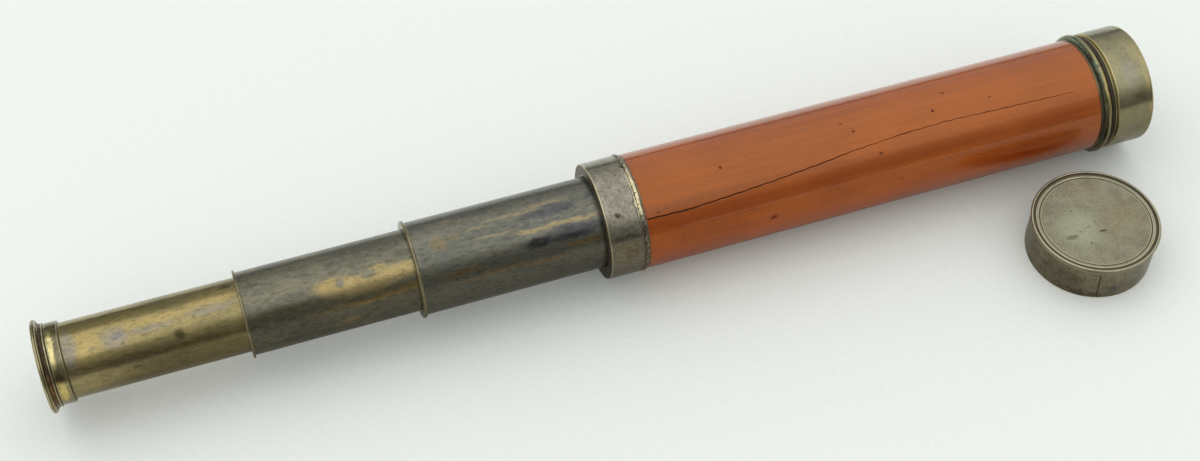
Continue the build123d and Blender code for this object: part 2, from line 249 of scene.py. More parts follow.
class Finish:
    """A material, and short calls for the nodes that it is made of."""

    def __init__(self, name):
        self.material = bpy.data.materials.new(name)
        self.material.use_nodes = True
        self.tree = self.material.node_tree
        self.shader = self.tree.nodes["Principled BSDF"]
        place = self.tree.nodes.new("ShaderNodeTexCoord")
        self.place = place.outputs["Object"]
        self.unrolled = place.outputs["UV"]
        self.wear_and_painted_light = self.node("ShaderNodeAttribute", attribute_name="wear_and_painted_light").outputs["Fac"]

    def plug(self, socket, value):
        if isinstance(value, bpy.types.NodeSocket):
            self.tree.links.new(value, socket)
        else:
            socket.default_value = value

    def node(self, kind, **settings):
        made = self.tree.nodes.new(kind)
        for key, value in settings.items():
            setattr(made, key, value)
        return made

    def math(self, operation, first, second):
        made = self.node("ShaderNodeMath", operation=operation)
        self.plug(made.inputs[0], first)
        self.plug(made.inputs[1], second)
        return made.outputs[0]

    def vector(self, operation, first, second=(0, 0, 0)):
        made = self.node("ShaderNodeVectorMath", operation=operation)
        self.plug(made.inputs[0], first)
        self.plug(made.inputs[1], second)
        return made.outputs["Value" if operation == "LENGTH" else "Vector"]

    def stretched(self, scale, shift=(0, 0, 0)):
        """Coordinates scaled for a texture. A small first number draws the texture out along the axis."""
        made = self.node("ShaderNodeMapping")
        self.plug(made.inputs["Vector"], self.place)
        made.inputs["Scale"].default_value = scale
        made.inputs["Location"].default_value = shift
        return made.outputs[0]

    def noise(self, vector, scale, detail=4.0, roughness=0.55, distortion=0.0):
        made = self.node("ShaderNodeTexNoise")
        self.plug(made.inputs["Vector"], vector)
        made.inputs["Scale"].default_value = scale
        made.inputs["Detail"].default_value = detail
        made.inputs["Roughness"].default_value = roughness
        made.inputs["Distortion"].default_value = distortion
        return made.outputs["Fac"]

    def noise_vector(self, vector, scale, size):
        """A noise offset of up to size either way, in metres, in all three directions."""
        made = self.node("ShaderNodeTexNoise")
        self.plug(made.inputs["Vector"], vector)
        made.inputs["Scale"].default_value = scale
        made.inputs["Detail"].default_value = 3.0
        centred = self.vector("SUBTRACT", made.outputs["Color"], (0.5, 0.5, 0.5))
        return self.vector("MULTIPLY", centred, (2 * size, 2 * size, 2 * size))

    def cells(self, vector, scale):
        """The distance to the nearest of many scattered points."""
        made = self.node("ShaderNodeTexVoronoi")
        self.plug(made.inputs["Vector"], vector)
        made.inputs["Scale"].default_value = scale
        return made.outputs["Distance"]

    def span(self, value, low, high, to_low=0.0, to_high=1.0):
        """Maps low..high to to_low..to_high, eased at both ends."""
        made = self.node("ShaderNodeMapRange", interpolation_type="SMOOTHSTEP")
        self.plug(made.inputs["Value"], value)
        self.plug(made.inputs["From Min"], low)
        self.plug(made.inputs["From Max"], high)
        self.plug(made.inputs["To Min"], to_low)
        self.plug(made.inputs["To Max"], to_high)
        return made.outputs[0]

    def mix(self, factor, first, second, blend="MIX"):
        made = self.node("ShaderNodeMix", data_type="RGBA", blend_type=blend)
        self.plug(made.inputs[0], factor)
        self.plug(made.inputs[6], first)
        self.plug(made.inputs[7], second)
        return made.outputs[2]

    def spot(self, surface, centre, size):
        """A soft ellipse on the unrolled surface: 1 inside, 0 outside. Centre and size are in metres."""
        away = self.vector("SUBTRACT", surface, (centre[0], centre[1], 0))
        scaled = self.vector("MULTIPLY", away, (1 / size[0], 1 / size[1], 0))
        return self.span(self.vector("LENGTH", scaled), 1.5, 0.5)

    def spots(self, surface, radius, places, start=EYE_END, origin=None):
        """The strongest of several soft spots on a surface.

        Each is (mm along from start, degrees around, half length in mm, half width in mm, strength). With
        an origin they lie on a flat face instead, and the first two numbers are mm from it.
        """
        total = None
        for along, angle, half_length, half_width, strength in places:
            if origin:
                centre = (origin[0] + along * MM, origin[1] + angle * MM)
            else:
                centre = ((start + along) * MM, math.radians(angle) * radius * MM)
            mark = self.spot(surface, centre, (half_length * MM, half_width * MM))
            mark = self.math("MULTIPLY", mark, strength)
            total = mark if total is None else self.math("MAXIMUM", total, mark)
        return total

    def bump(self, height, strength, distance):
        """A normal from a height between 0 and 1. distance is how high 1 stands, in metres."""
        made = self.node("ShaderNodeBump")
        self.plug(made.inputs["Height"], height)
        made.inputs["Strength"].default_value = strength
        made.inputs["Distance"].default_value = distance
        return made.outputs[0]

    def surface(self, **inputs):
        """Sets or links the shader's sockets. A name's underscores stand for spaces."""
        for key, value in inputs.items():
            self.plug(self.shader.inputs[key.replace("_", " ")], value)


def aged_brass(name, main, varied, dirt, polish, seed, grain, rough, layers=(), patch_scale=60.0,
               radius=None, start=EYE_END, grit=1.0, origin=None):
    """Old brass: uneven tarnish with streaks along the axis, stains and rubs, pits, dirt in the recesses and
    bright metal on the edges, with painted shade and painted highlights wherever a piece asks for them.

    grain is how far the tarnish is drawn out along the axis, rough the roughness from smoothest to
    dullest, and grit the strength of the fine mottle. layers are (colour, raggedness from 0 to 1, places),
    with the places as Finish.spots takes them, on a piece of that radius or on a flat face with an origin.
    """
    f = Finish(name)
    even = f.stretched((1, 1, 1), (seed, seed * 0.7, seed * 1.3))
    along = f.stretched((1 / grain, 1, 1), (seed * 1.1, seed, seed * 0.4))
    streaks = f.noise(along, patch_scale * 2.6, 6, 0.62)
    patches = f.noise(even, patch_scale, 5, 0.6, 0.5)
    mottle = f.noise(f.stretched((0.4 if grain > 2 else 1, 1, 1)), 800.0, 6, 0.8)
    amount = f.math("ADD", f.math("MULTIPLY", streaks, 0.55), f.math("MULTIPLY", patches, 0.45))
    colour = f.mix(f.span(amount, 0.4, 0.6), main, varied)
    surface = f.place if origin else f.unrolled
    warped = f.vector("ADD", surface, f.noise_vector(even, 170.0, 0.0006 if origin else 0.0016))
    for tint, ragged, places in layers:
        mask = f.spots(warped, radius, places, start, origin)
        torn = f.math("MULTIPLY", mask, f.span(streaks, 0.36, 0.54))
        colour = f.mix(f.math("ADD", f.math("MULTIPLY", torn, ragged), f.math("MULTIPLY", mask, 1 - ragged)),
                       colour, tint)
    colour = f.mix(f.span(mottle, 0.48, 0.68, 0, 0.6 * grit), colour, dirt)
    colour = f.mix(f.span(mottle, 0.5, 0.3, 0, 0.35 * grit), colour, polish)
    # Rubbed metal on proud edges and dirt in recesses, which on some pieces also carry painted highlights
    # and painted shade
    rubbed_and_painted_highlight = f.math("MULTIPLY", f.span(f.wear_and_painted_light, 0.12, 0.5), f.span(patches, 0.36, 0.5, 0.35, 0.95))
    colour = f.mix(rubbed_and_painted_highlight, colour, polish)
    grime_and_painted_shade = f.span(f.wear_and_painted_light, -0.1, -0.45, 0, 0.9)
    colour = f.mix(grime_and_painted_shade, colour, dirt)
    specks = f.span(f.cells(even, 460.0), 0.06, 0.13, 1, 0)
    specks = f.math("MULTIPLY", specks, f.span(f.noise(even, 90.0, 2), 0.55, 0.64))
    colour = f.mix(f.math("MULTIPLY", specks, 0.5), colour, dirt)
    roughness = f.math("ADD", f.span(amount, 0.35, 0.65, *rough), f.math("MULTIPLY", grime_and_painted_shade, 0.25))
    height = f.math("SUBTRACT", f.math("MULTIPLY", mottle, 0.6), specks)
    f.surface(Base_Color=colour, Metallic=f.math("SUBTRACT", 0.98, f.math("MULTIPLY", grime_and_painted_shade, 0.4)),
              Roughness=roughness, Normal=f.bump(height, 0.24, 0.0003))
    return f.material


# ---- Materials of each piece ----

draw_radius = {n: box_mm(f"draw_{n}_tube")[2] for n in (1, 2, 3)}
wood_radius = box_mm("barrel_wood")[2]
ferrule_radius = box_mm("barrel_ferrule")[2]
mount_radius = box_mm("objective_mount")[2]
cell_radius = box_mm("objective_cell")[2]
eyecup_radius = box_mm("eyepiece_housing")[2]

GOLD = paint(192, 168, 108)
MAUVE = paint(142, 138, 134)

draw_1_brass = aged_brass(
    "draw_1_brass", paint(160, 146, 100), paint(138, 128, 92), paint(86, 76, 48), paint(190, 172, 118),
    grain=6.0, patch_scale=50.0, seed=1.0, radius=draw_radius[1], rough=(0.14, 0.26), layers=[
        # Rubbed bright on the upper side
        (GOLD, 0.5, [(20, 113, 6, 5, 0.55), (48, 99, 14, 1.8, 0.5), (70, 92, 9, 2, 0.4)]),
        # Mauve tarnish, with a bluish heart
        (MAUVE, 0.3, [(31, 112, 5, 4.2, 0.75), (12.8, 110, 2.6, 9, 0.75),
                      (70, 106, 10, 1.8, 0.6), (46, 111, 9, 1.6, 0.5)]),
        (paint(112, 114, 118), 0.2, [(32, 108, 2.0, 1.3, 0.6), (22, 121, 1.8, 0.8, 0.4)]),
        # Duller underside, with brownish streaks
        (paint(112, 104, 82), 0.5, [(50, 172, 42, 8, 0.5)]),
        (paint(110, 92, 82), 0.7, [(34, 152, 16, 1.6, 0.4), (66, 160, 16, 1.4, 0.4)]),
        # Dark round spots
        (paint(72, 62, 44), 0.0, [(56, 131, 2.2, 2.1, 0.8), (33.5, 124, 0.9, 0.7, 0.6),
                                  (78, 73, 2.4, 0.9, 0.7), (37, 163, 1.4, 0.9, 0.45)]),
        # Brown streaks along the side
        (paint(96, 72, 40), 0.6, [(60, 149, 24, 1.1, 0.5), (30, 144, 18, 1.0, 0.4)])])
draw_2_brass = aged_brass(
    "draw_2_brass", paint(122, 119, 102), paint(104, 103, 92), paint(60, 56, 42), paint(158, 150, 122),
    grain=7.0, patch_scale=55.0, seed=2.0, radius=draw_radius[2], rough=(0.20, 0.32), layers=[
        # The broad golden patch, and golden streaks below it
        (GOLD, 0.3, [(119, 121, 7, 3.0, 0.65), (127, 127, 11, 4.2, 0.7),
                     (137, 129, 9, 4.2, 0.7), (146, 124, 10, 3.2, 0.75),
                     (139, 113, 4, 1.6, 0.55), (152, 121, 6, 2.6, 0.65)]),
        (paint(178, 150, 90), 0.3, [(137, 151, 20, 1.2, 0.75), (118, 154, 12, 0.8, 0.4),
                                    (151, 147, 7, 1.6, 0.6), (124, 178, 3.4, 1.7, 0.5)]),
        # Grey islands in the patch
        (paint(124, 122, 108), 0.0, [(122.6, 121, 2.0, 1.9, 0.9), (134.5, 117, 3.0, 1.7, 0.9),
                                     (130, 112, 4, 1.0, 0.7)]),
        # Dark band along the side
        (paint(72, 64, 44), 0.6, [(100, 140, 22, 2.4, 0.5), (138, 145, 16, 1.6, 0.6)])])
draw_3_brass = aged_brass(
    "draw_3_brass", paint(118, 117, 106), paint(104, 105, 97), paint(54, 52, 44), paint(148, 142, 120),
    grain=7.0, patch_scale=48.0, seed=3.0, radius=draw_radius[3], rough=(0.18, 0.30), layers=[
        # Blue-black blotches
        (paint(64, 66, 80), 0.2, [(214, 98, 12, 2.8, 0.7), (222, 130, 14, 2.8, 0.7),
                                  (233, 92, 3, 3, 0.5), (200, 131, 4, 1.4, 0.5)]),
        (paint(38, 36, 46), 0.1, [(206, 134, 5.5, 2.2, 0.9), (218, 137, 9, 1.4, 0.7)]),
        # Pale golden scrapes
        (paint(166, 148, 108), 0.3, [(200, 91.5, 9, 0.9, 0.6), (212, 87, 8, 0.9, 0.6),
                                     (190, 92, 5, 0.5, 0.4), (203, 118, 6, 0.9, 0.7),
                                     (219, 117.5, 15, 1.0, 0.65), (171, 74, 2.2, 0.9, 0.45),
                                     (179, 80.5, 5, 0.6, 0.5), (182, 98, 5, 0.6, 0.4),
                                     (188, 112, 9, 0.7, 0.35)]),
        # A golden spot near the mouth, and golden-brown streaks along the side
        (paint(150, 128, 78), 0.6, [(165.5, 103, 3.0, 3.6, 0.4), (172, 100, 3, 2, 0.25)]),
        (paint(138, 110, 62), 0.5, [(226, 147, 9, 1.0, 0.8), (208, 158, 12, 0.9, 0.7),
                                    (190, 154, 10, 0.7, 0.5), (172, 145, 9, 1.2, 0.5),
                                    (180, 158, 14, 0.8, 0.4)])])
flange_brass = aged_brass(
    "flange_brass", paint(92, 88, 70), paint(72, 68, 54), paint(40, 36, 28), paint(150, 142, 112), seed=4.0,
    grain=1.0, rough=(0.2, 0.3))
ferrule_brass = aged_brass(
    "ferrule_brass", paint(152, 148, 134), paint(132, 128, 116), paint(76, 66, 52), paint(196, 186, 152),
    grain=0.8, patch_scale=75.0, seed=5.0, radius=ferrule_radius, rough=(0.13, 0.22), layers=[
        # The chewed rear edge, with a painted highlight above and painted shade below
        (paint(244, 232, 184), 0.5, [(249.4, 108, 0.9, 13, 1.0)]),
        (paint(112, 108, 88), 0.3, [(249.4, 172, 1.2, 12, 0.7)]),
        # Dirt around the two pins
        (paint(52, 46, 40), 0.0, [(239.6, 127.2, 1.2, 1.1, 0.9), (248.4, 77, 1.0, 1.0, 0.9)]),
        # Browner underside
        (paint(126, 108, 66), 0.4, [(241, 164, 6, 6, 0.5)]),
        # Dark grime against the rear edge, and a dark band along the side
        (paint(56, 48, 40), 0.2, [(249.6, 147, 1.0, 3.4, 0.8), (247.9, 122, 0.22, 9, 0.8),
                                  (240, 150, 9, 1.2, 0.5)])])
mount_brass = aged_brass(
    "mount_brass", paint(132, 127, 90), paint(102, 100, 74), paint(56, 49, 41), paint(160, 151, 110),
    grain=1.0, seed=6.0, radius=mount_radius, rough=(0.14, 0.26), layers=[
        # Painted shade on the flanks of the large bead
        (paint(72, 72, 60), 0.2, [(464.0, 120, 0.9, 40, 0.55), (467.4, 120, 0.7, 40, 0.6)]),
        # Verdigris against the wood
        (paint(122, 140, 120), 0.4, [(464.4, 70, 1.2, 9, 0.7), (464.6, 106, 1.3, 3, 0.8),
                                     (464.4, 120, 0.8, 7, 0.4), (464.6, 178, 1.2, 7, 0.4)]),
        # A painted highlight along the large bead's crest
        (paint(206, 186, 112), 0.1, [(466.0, 132, 0.7, 9, 0.85), (466.0, 100, 0.5, 6, 0.4)]),
        # Dirt in the groove
        (paint(70, 58, 48), 0.1, [(468.5, 115, 0.55, 40, 0.85)])])
cell_brass = aged_brass(
    "cell_brass", paint(150, 145, 114), paint(132, 128, 102), paint(96, 88, 60), paint(190, 176, 126),
    grit=0.45, grain=0.9, patch_scale=50.0, seed=7.0, radius=cell_radius, rough=(0.14, 0.24), layers=[
        # Mauve tarnish
        (MAUVE, 0.3, [(478, 120, 3.5, 6, 0.5), (476, 178, 4, 4, 0.3)]),
        # Rubbed gold near the rim
        (paint(186, 168, 112), 0.7, [(485.5, 128, 1.4, 12, 0.5), (484, 100, 2.4, 4, 0.3),
                                     (486, 158, 0.9, 2.6, 0.8)]),
        # Brown streaks along the side
        (paint(98, 78, 50), 0.5, [(483, 146, 5, 2.6, 0.5), (474, 150, 6, 1.2, 0.4)])])
eyepiece_brass = aged_brass(
    "eyepiece_brass", paint(134, 128, 98), paint(112, 104, 74), paint(58, 44, 30), paint(164, 156, 120),
    grain=1.0, patch_scale=110.0, seed=8.0, radius=eyecup_radius, rough=(0.10, 0.2), layers=[
        # Red-brown cove, turning orange below
        (paint(92, 66, 48), 0.3, [(2.9, 105, 1.0, 18, 0.75), (9.0, 90, 0.9, 6, 0.5)]),
        (paint(200, 150, 76), 0.2, [(2.9, 172, 1.3, 9, 1.0), (4.2, 176, 0.8, 8, 0.7)]),
        # Painted highlights on the fine bead and along the top of the band, and a painted golden reflection
        # of the floor on the band's underside
        (paint(250, 244, 216), 0.9, [(4.1, 104, 0.5, 12, 0.9)]),
        (paint(240, 226, 160), 0.4, [(6.2, 104, 1.2, 8.5, 0.9)]),
        (paint(214, 190, 116), 0.2, [(6.8, 172, 1.5, 6.5, 0.8)]),
        # Grey along the band's edge and on the lip
        (paint(124, 124, 106), 0.5, [(8.6, 112, 1.0, 10, 0.6), (0.8, 120, 0.8, 30, 0.4)]),
        # A painted dark reflection on the band's side, and a pit above it
        (paint(60, 44, 34), 0.2, [(7.0, 147, 1.8, 2.6, 0.6), (7.3, 92, 0.35, 0.4, 0.8)])])
disc_brass = aged_brass(
    "cap_disc_brass", paint(141, 139, 119), paint(128, 123, 104), paint(78, 72, 58), paint(172, 166, 140),
    grit=0.7, grain=1.0, patch_scale=45.0, seed=9.0, rough=(0.24, 0.34), origin=(CAP_X, CAP_Y), layers=[
        # Painted sheen in place of the turned top's radial highlight: brownish clouds, and a pale one on the
        # left
        (paint(146, 130, 100), 0.4, [(10, -3, 10, 9, 0.4), (2, 17, 8, 4, 0.35)]),
        (paint(168, 172, 146), 0.3, [(-9, -1, 9, 9, 0.6)]),
        # Dark spots, the largest with a pale middle
        (paint(62, 66, 54), 0.0, [(-13.9, -5.0, 2.5, 0.95, 0.75), (-7.4, -10.4, 0.6, 0.5, 0.7),
                                  (-7.6, 8.0, 0.6, 0.5, 0.5), (-18.9, 5.3, 0.5, 0.5, 0.5)]),
        (paint(136, 136, 112), 0.0, [(-13.9, -5.0, 1.4, 0.35, 0.8)]),
        # Knocks
        (paint(50, 42, 40), 0.0, [(0.4, -5.8, 1.7, 0.5, 0.85), (-0.7, -0.5, 0.5, 0.4, 0.6),
                                  (-4.7, -1.8, 1.1, 0.3, 0.55), (-9.3, -3.1, 0.5, 0.4, 0.6)])])
skirt_brass = aged_brass(
    "cap_skirt_brass", paint(150, 145, 124), paint(128, 122, 102), paint(60, 52, 42), paint(176, 162, 124),
    grain=1.0, patch_scale=70.0, seed=10.0, radius=CAP_RADIUS, start=0.0, rough=(0.18, 0.28), layers=[
        # Bluish and brown tarnish
        (paint(84, 82, 98), 0.3, [(6, -97, 1.8, 2.0, 0.7), (9, -160, 3, 4, 0.4)]),
        (paint(74, 62, 46), 0.5, [(2, -125, 2, 9, 0.6), (10, -140, 3, 6, 0.3)])])


def inner_brass_finish():
    f = Finish("inner_brass")
    turning = f.noise(f.stretched((12, 1, 1)), 200.0, 3, 0.6)
    colour = f.mix(f.span(turning, 0.35, 0.65), paint(196, 172, 112), paint(150, 128, 78))
    f.surface(Base_Color=colour, Metallic=1.0, Roughness=f.span(turning, 0.3, 0.7, 0.24, 0.38),
              Normal=f.bump(turning, 0.1, 0.0002))
    return f.material


def blackened_finish():
    f = Finish("blackened_brass")
    grain = f.noise(f.place, 900.0, 4, 0.6)
    colour = f.mix(f.span(grain, 0.4, 0.7), paint(22, 21, 19), paint(44, 40, 33))
    f.surface(Base_Color=colour, Metallic=0.2, Roughness=f.span(grain, 0.3, 0.7, 0.5, 0.75),
              Normal=f.bump(grain, 0.2, 0.0002))
    return f.material


def pin_finish():
    f = Finish("dark_pins")
    rust = f.noise(f.place, 700.0, 4, 0.6)
    colour = f.mix(f.span(rust, 0.35, 0.65), paint(52, 47, 40), paint(88, 74, 56))
    f.surface(Base_Color=colour, Metallic=0.7, Roughness=0.5, Normal=f.bump(rust, 0.3, 0.0002))
    return f.material


def glass_finish():
    f = Finish("optical_glass")
    haze = f.noise(f.place, 120.0, 3, 0.5)
    f.surface(Base_Color=f.mix(f.span(haze, 0.4, 0.7, 0, 0.3), paint(240, 248, 244), paint(220, 232, 226)),
              Roughness=f.span(haze, 0.45, 0.75, 0.01, 0.06))
    f.shader.inputs["IOR"].default_value = 1.52
    f.shader.inputs["Transmission Weight"].default_value = 1.0
    return f.material


def mahogany_finish():
    """Glossy shellac over reddish mahogany, with grain and dark pores drawn out along the barrel.

    The high IOR with its orange tint stands for the light that the wood's fibres throw back.
    """
    f = Finish("mahogany")
    grain = f.noise(f.stretched((0.05, 1, 1)), 420.0, 6, 0.65, 0.3)
    figure = f.noise(f.stretched((0.1, 1, 1), (3, 1, 2)), 70.0, 4, 0.55, 0.6)
    cloud = f.noise(f.place, 30.0, 3, 0.5)
    mottle = f.noise(f.stretched((0.35, 1, 1)), 1100.0, 5, 0.75)
    colour = f.mix(f.span(grain, 0.35, 0.65), paint(146, 56, 4), paint(128, 44, 4))
    colour = f.mix(f.span(figure, 0.42, 0.66, 0, 0.5), colour, paint(114, 34, 4))
    colour = f.mix(f.span(cloud, 0.4, 0.65, 0, 0.4), colour, paint(162, 70, 8))
    colour = f.mix(f.span(mottle, 0.5, 0.7, 0, 0.4), colour, paint(96, 26, 4))
    colour = f.mix(f.span(mottle, 0.5, 0.3, 0, 0.25), colour, paint(178, 84, 16))
    # Painted shade: a darker, redder band along the barrel's near side, below its top
    painted_shade_band = f.spots(f.unrolled, wood_radius, [
        (292, 148, 48, 3.2, 0.6), (372, 143, 56, 3.0, 0.6), (440, 141, 30, 3.0, 0.4)])
    colour = f.mix(painted_shade_band, colour, paint(116, 26, 2))
    pores = f.span(f.cells(f.stretched((0.14, 1, 1)), 800.0), 0.08, 0.2, 1, 0)
    pores = f.math("MULTIPLY", pores, f.span(f.noise(f.place, 130.0, 3), 0.5, 0.66))
    colour = f.mix(f.math("MULTIPLY", pores, 0.45), colour, paint(84, 32, 14))
    warped = f.vector("ADD", f.unrolled, f.noise_vector(f.place, 500.0, 0.0004))
    knocks = f.spots(warped, wood_radius, [
        (288, 107, 0.7, 0.7, 0.75), (310, 74, 1.4, 0.3, 0.5), (345, 95, 0.7, 0.4, 0.7),
        (349, 106, 0.6, 0.6, 0.8), (358, 134, 0.9, 0.6, 0.7), (386, 106, 0.7, 0.7, 0.8),
        (394, 89, 0.9, 0.5, 0.7), (413, 107, 0.7, 0.4, 0.6), (307, 172, 1.8, 1.1, 0.7),
        (266, 168, 0.9, 0.5, 0.5), (257, 134, 0.9, 0.3, 0.6), (261, 132.5, 0.7, 0.3, 0.5),
        (366, 166, 1.0, 0.5, 0.5), (290, 165, 0.8, 0.3, 0.5)])
    colour = f.mix(knocks, colour, paint(70, 34, 26))
    cracked = f.span(f.wear_and_painted_light, -0.15, -0.6)
    colour = f.mix(f.math("MULTIPLY", cracked, 0.95), colour, paint(58, 40, 32))
    height = f.math("SUBTRACT", f.math("MULTIPLY", grain, 0.5), f.math("ADD", pores, knocks))
    f.surface(Base_Color=colour, Roughness=f.span(cloud, 0.3, 0.7, 0.3, 0.4),
              Normal=f.bump(height, 0.05, 0.0003))
    f.shader.inputs["IOR"].default_value = 2.0
    f.shader.inputs["Specular Tint"].default_value = (1.0, 0.47, 0.04, 1.0)
    broken = f.math("ADD", knocks, cracked)
    f.surface(Coat_Weight=f.span(broken, 0.1, 0.8, 0.75, 0.2),
              Specular_IOR_Level=f.span(broken, 0.1, 0.8, 0.5, 0.0))
    f.shader.inputs["Coat Roughness"].default_value = 0.05
    f.shader.inputs["Coat IOR"].default_value = 1.5
    return f.material


inner_brass = inner_brass_finish()
blackened = blackened_finish()
dark_pins = pin_finish()
glass = glass_finish()
mahogany = mahogany_finish()


# ---- Turned pieces ----

def dented(depth, size, seed, reach=2.5):
    """Relief of slight old dents and unevenness."""
    return lambda x, angle, r: depth * wobble(x, angle, size, seed, reach)


def make_draw(number, wall, finish):
    """A draw tube, darkened where it meets its flange by a painted contact shadow."""
    left, right, radius = box_mm(f"draw_{number}_tube")
    outline = Outline(left, radius).to(right, radius).to(right, radius - wall).to(left, radius - wall)
    turned(f"draw_{number}", subdivided(outline.softened(0.15), 1.2), f"draw_{number}",
           [f"draw_{number}_tube"], finish, relief=dented(0.04, 14.0, number),
           stain_and_painted_light=lambda x, angle, r: -0.7 if x < left + 0.2 else 0)


def make_flange(number, sleeve):
    """The rounded rim in the mouth of a draw, with its sleeve inside.

    sleeve is how far the sleeve's outside lies within the draw's. The bore is smooth, so that the next
    draw slides clear of it.
    """
    left, right, radius = box_mm(f"draw_{number}_guide")
    tube_left, _, tube_radius = box_mm(f"draw_{number}_tube")
    bore = box_mm(f"draw_{number - 1}_tube")[2] + SLIDING_FIT
    width = tube_left - left
    rounding = 0.3 * width
    outline = Outline(left, bore).to(left, radius - rounding)
    outline.arc(tube_left, radius - rounding, rounding, 10)
    outline.to(tube_left, tube_radius - sleeve).to(right, tube_radius - sleeve).to(right, bore)
    dents = dented(0.04, 2.5, number + 10, 1.0)
    turned(f"draw_{number}_flange", outline.softened(0.1), f"draw_{number}",
           [f"draw_{number}_guide"], flange_brass, turns=256,
           relief=lambda x, angle, r: dents(x, angle, r) if r > bore + 0.2 else 0,
           stain_and_painted_light=lambda x, angle, r: 0.1 if r > radius - 0.35 * width else -0.4)


def make_ferrule():
    """A plain ferrule. Its rear edge is thin metal, turned over by hand and chewed bright, with a painted
    highlight along its top and painted shade below it.
    """
    left, right, radius = box_mm("barrel_ferrule")
    body, bead = radius - 0.35, right - 2.5
    hole, tenon, front_wall = box_mm("draw_3_tube")[2] + 0.35, 24.32, 2.0
    outline = Outline(left, hole).to(left, body - 0.3).arc(left + 0.3, body, 0.08, 4)
    outline.to(right - 2.6, body).to(right - 2.4, body - 0.12).arc(right - 0.7, body + 0.05, 0.3, 10)
    outline.to(right - 0.5, body - 0.25).to(right, body - 0.3)
    outline.to(right, tenon).to(left + front_wall, tenon).to(left + front_wall, hole)

    def chewed(x, angle, r):
        if x > bead and r > tenon + 0.3:
            return 0.2 * wobble(x * 0.6, angle, 1.0, 21) + 0.14 * wobble(x, angle, 0.45, 22)
        return 0.03 * wobble(x, angle, 5.0, 23)

    # Painted shade darkens the front face, and the rear bead below and behind its top. On the top, the
    # chewed bead's bright patches are partly painted highlight. The dark line at the rear end is the joint
    # with the wood.
    def grime(x, angle, r):
        if x < left + 0.05 or x > right - 0.6:
            return -0.7
        if x > bead:
            in_painted_shade = angle > 140 or angle < 76
            return 1.1 * wobble(x, angle, 0.7, 24) - (0.45 if in_painted_shade else 0.1)
        return 0

    turned("ferrule", subdivided(outline.softened(0.08), 0.9), "barrel",
           ["barrel_ferrule"], ferrule_brass, turns=480, relief=chewed, stain_and_painted_light=grime)


# The crack in the wood: (millimetres from the eyecup's rim, degrees around)
CRACK = [(251, 138), (270, 139), (290, 136.5), (310, 133), (330, 129), (345, 125), (370, 121), (390, 119.8),
         (420, 122), (462, 124.5)]


def crack_angle(x):
    """The angle, in degrees, of the crack that runs along the barrel."""
    places, angles = zip(*CRACK)
    return np.interp(x, [station(place) for place in places], angles) + 0.25 * math.sin(x * 0.9)


def make_wood():
    """The wooden barrel, with its tenon in the ferrule and the crack along its near side."""
    left, right, radius = box_mm("barrel_wood")
    ferrule_end = box_mm("barrel_ferrule")[1]
    tenon, bore = 24.3, 22.0
    outline = Outline(left, tenon).to(ferrule_end, tenon).to(ferrule_end, radius).to(right, radius)
    outline.to(right, bore).to(left, bore)

    def opening(x):
        """How wide open the crack is, from 1 at the ferrule to nearly closed at the other end."""
        t = (x - ferrule_end) / (right - ferrule_end)
        gaping, closing = 0.78 * max(0.0, 1 - 2.1 * t), max(0.0, t - 0.85) * 2
        return max(0.0, 0.22 + gaping + 0.18 * wobble(x, 0, 6.0, 31) - closing)

    def cut(x, angle, r):
        """1 in the middle of the crack, down to 0 at its edges."""
        if r < radius - 0.05 or x < ferrule_end:
            return 0.0
        half_width = 0.13 + 0.2 * opening(x)
        away = abs(arc_from(crack_angle, x, angle, radius))
        return max(0.0, 1 - away / half_width) * min(1.0, 2 * opening(x))

    def relief(x, angle, r):
        """The crack with a slightly raised lip above it, on wood that isn't quite round."""
        from_lip = abs(arc_from(crack_angle, x, angle, radius) - 0.5)
        lip = 0.06 * opening(x) * max(0.0, 1 - from_lip / 0.35) * (r > radius - 0.05)
        return lip - 0.6 * cut(x, angle, r) + 0.02 * wobble(x, angle, 16.0, 30, 3.0)

    def grime(x, angle, r):
        joint = -0.45 if x < ferrule_end + 0.6 else 0.0
        return min(joint, -1.3 * cut(x, angle, r) ** 0.5)

    columns = columns_along(crack_angle, radius, (0.07, 0.14, 0.24, 0.4, 0.6, 0.9, 1.6), 170)
    turned("mahogany_barrel", subdivided(outline.softened(0.2), 1.6), "barrel", ["barrel_wood"],
           mahogany, relief=relief, stain_and_painted_light=grime, offsets=columns)


def make_mount():
    """The objective mount: fillet, large bead, groove and fine bead, with its spigot in the wood."""
    left, right, radius = box_mm("objective_mount")
    wood_end = box_mm("barrel_wood")[1]
    spigot, aperture, core = 21.98, 20.3, 25.5
    socket, socket_start = aperture + 2.7, right - 5.1
    fillet_end, bead_end = wood_end + 1.4, wood_end + 5.3
    fine_start, fine_end = wood_end + 6.5, wood_end + 7.3
    outline = Outline(left, spigot).to(wood_end, spigot).to(wood_end, core - 0.35)
    outline.arc(wood_end + 1.2, core - 0.25, 0.12).to(fillet_end, core - 0.45)
    outline.arc(bead_end, core - 0.2, radius - core + 0.25, 18).to(wood_end + 5.4, core - 0.1)
    outline.to(fine_start, core + 0.3).arc(fine_end, core + 0.3, 0.3, 8)
    outline.to(wood_end + 7.45, core + 0.05).to(right, core + 0.05)
    outline.to(right, socket).to(socket_start, socket).to(socket_start, aperture).to(left, aperture)

    def grime(x, angle, r):
        if x < fillet_end:
            return -0.8
        if wood_end + 5.1 < x < fine_start:
            return -0.6
        return 0.35 + 0.5 * wobble(x, angle, 2.0, 42) if x > wood_end + 6.8 else -0.1

    turned("mount_moulding", subdivided(outline.softened(0.07), 0.8), "barrel",
           ["objective_mount"], mount_brass, turns=256, relief=dented(0.05, 3.0, 41), stain_and_painted_light=grime)


